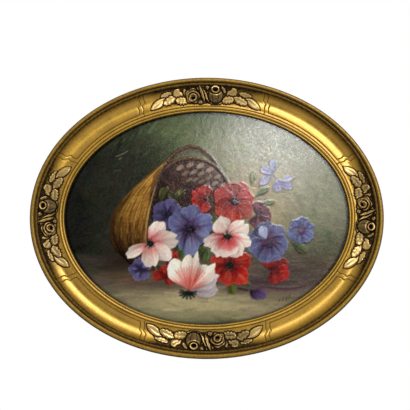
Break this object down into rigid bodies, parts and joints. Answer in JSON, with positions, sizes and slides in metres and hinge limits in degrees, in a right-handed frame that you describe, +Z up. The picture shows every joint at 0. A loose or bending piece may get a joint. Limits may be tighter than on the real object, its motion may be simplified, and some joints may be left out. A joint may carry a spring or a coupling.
{
  "type": "framed oil painting",
  "caption": "Oval still-life painting of flowers and a basket in a gilded moulding with rose-and-leaf castings, hung from a keyhole plate at the top of its back.",
  "frame": {"origin": "on the hanging plate's back face, just above its keyhole, in the plane that lies against the wall", "axes": "+Y out of the back, towards the wall; +Z up as the picture hangs; +X to the right as seen from the front, along the oval's long axis"},
  "size_m": [0.4868, 0.032, 0.3888],
  "materials": {
    "gilding": "satin gold leaf over red clay on gessoed wood, toned brown in the hollows and rubbed on the edges",
    "casting_gilding": "gold leaf over cast composition, with dark toning round each leaf",
    "painting": "oil paint with a gloss varnish on linen, bare linen at the back",
    "strainer_wood": "bare softwood, browned with age",
    "steel": "dull zinc-plated steel"
  },
  "bodies": {
    "root": {"frame": "gilding", "ornament_top": "casting_gilding", "ornament_right": "casting_gilding", "ornament_bottom": "casting_gilding", "ornament_left": "casting_gilding", "canvas": "painting", "strainer": "strainer_wood", "nail_1": "steel", "nail_2": "steel", "nail_3": "steel", "nail_4": "steel", "nail_5": "steel", "nail_6": "steel", "hanger_screw_left": "steel", "hanger_screw_right": "steel", "hanger_plate": "steel"}
  },
  "joints": []
}
